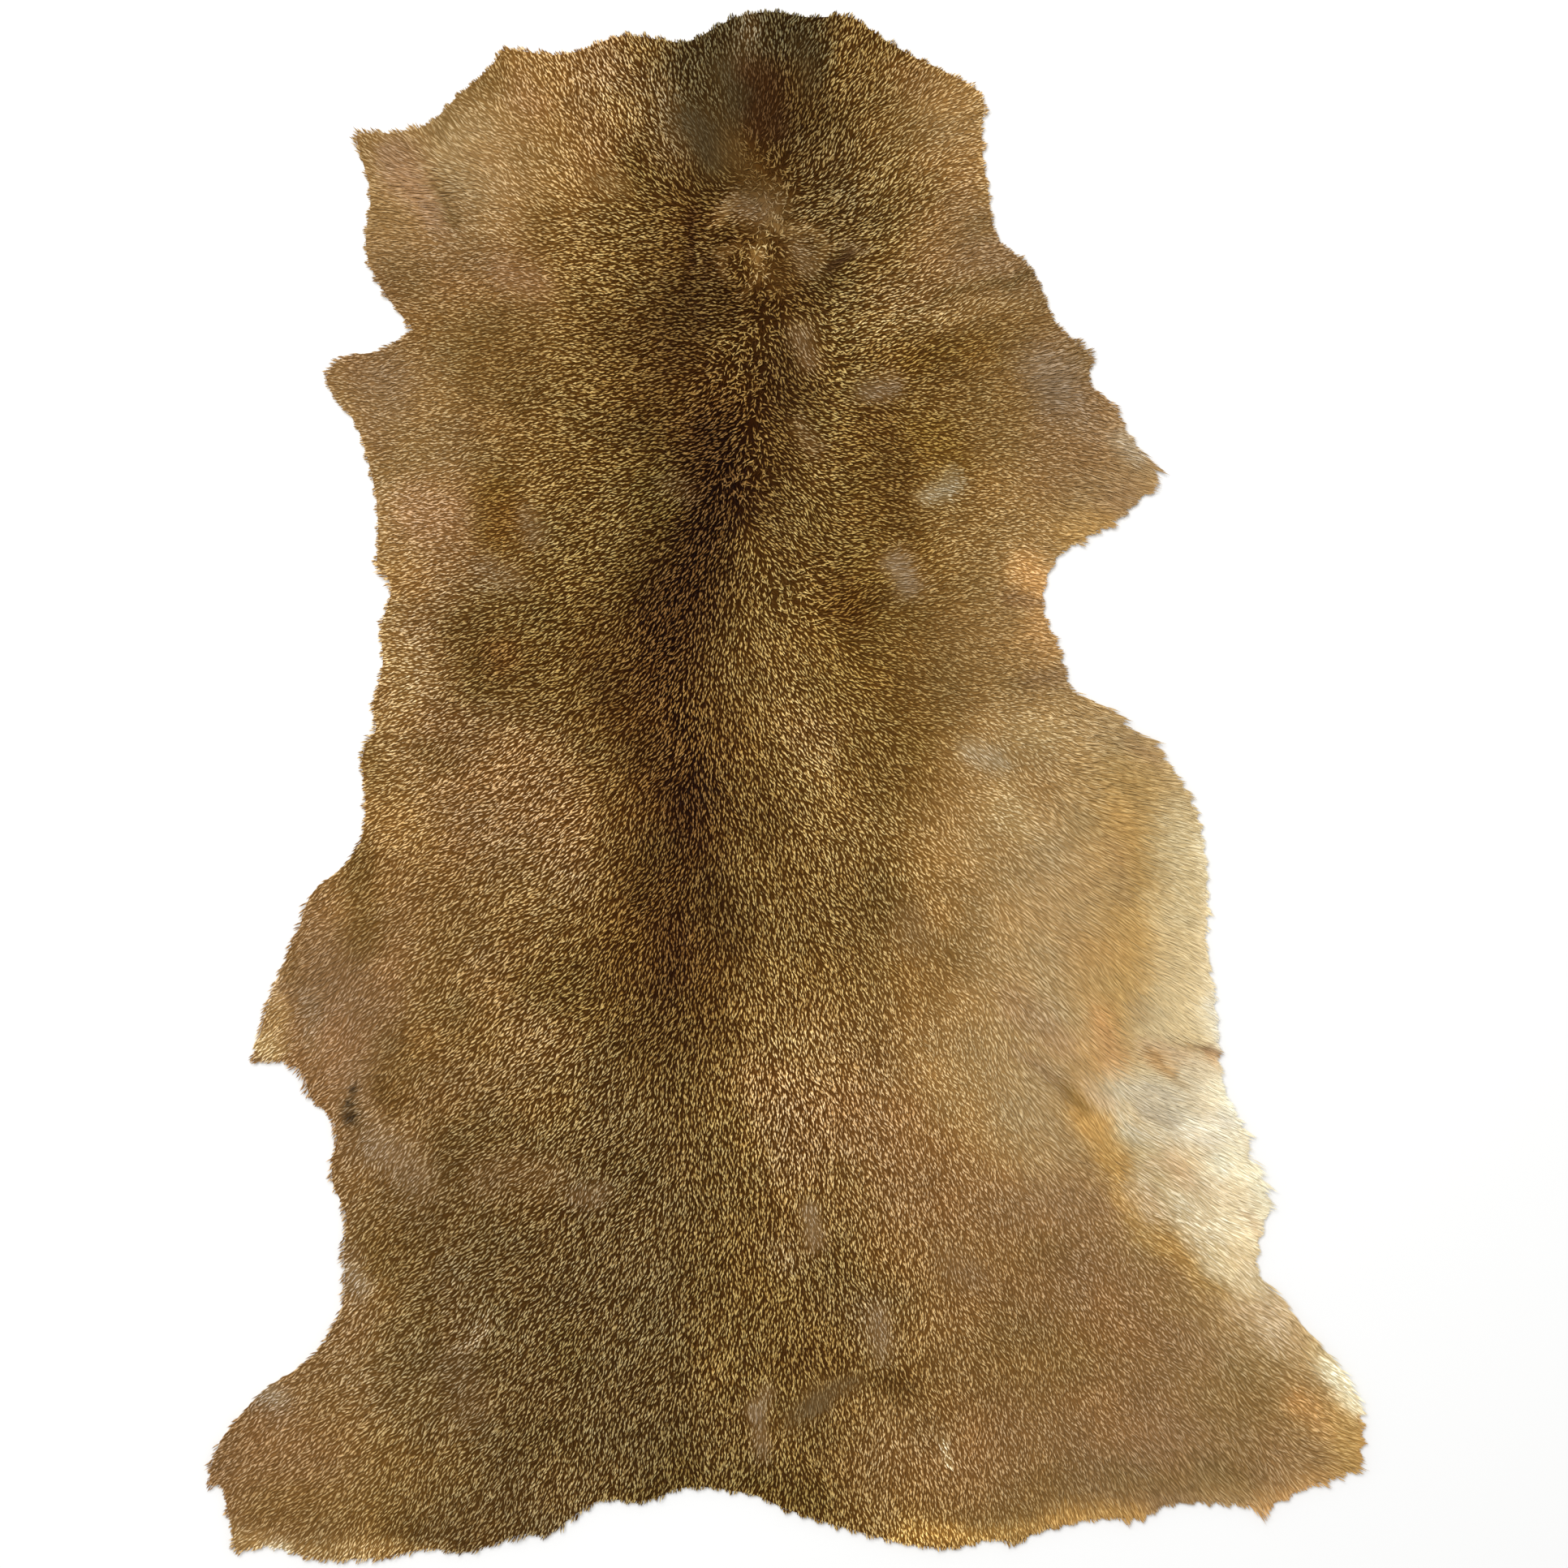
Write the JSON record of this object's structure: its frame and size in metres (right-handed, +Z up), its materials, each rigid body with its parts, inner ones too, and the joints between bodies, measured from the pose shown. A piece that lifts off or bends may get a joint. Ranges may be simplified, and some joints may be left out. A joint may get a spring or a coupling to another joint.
{
  "type": "deerhide rug",
  "caption": "Hair-on deer hide rug lying flat: brown agouti coat, dark down the spine, tan flanks, cream and ochre belly edge, ragged hairy rim",
  "frame": {"origin": "on the floor, under the middle of the hide's bounding box", "axes": "+Y toward the neck end along the spine, +Z up out of the coat, +X to the right seen from above"},
  "size_m": [0.8588, 1.1526, 0.0084],
  "materials": {
    "hair_coat": "short lying hair",
    "flesh_side": "suede"
  },
  "bodies": {
    "root": {"hide": "hair_coat"}
  },
  "joints": []
}
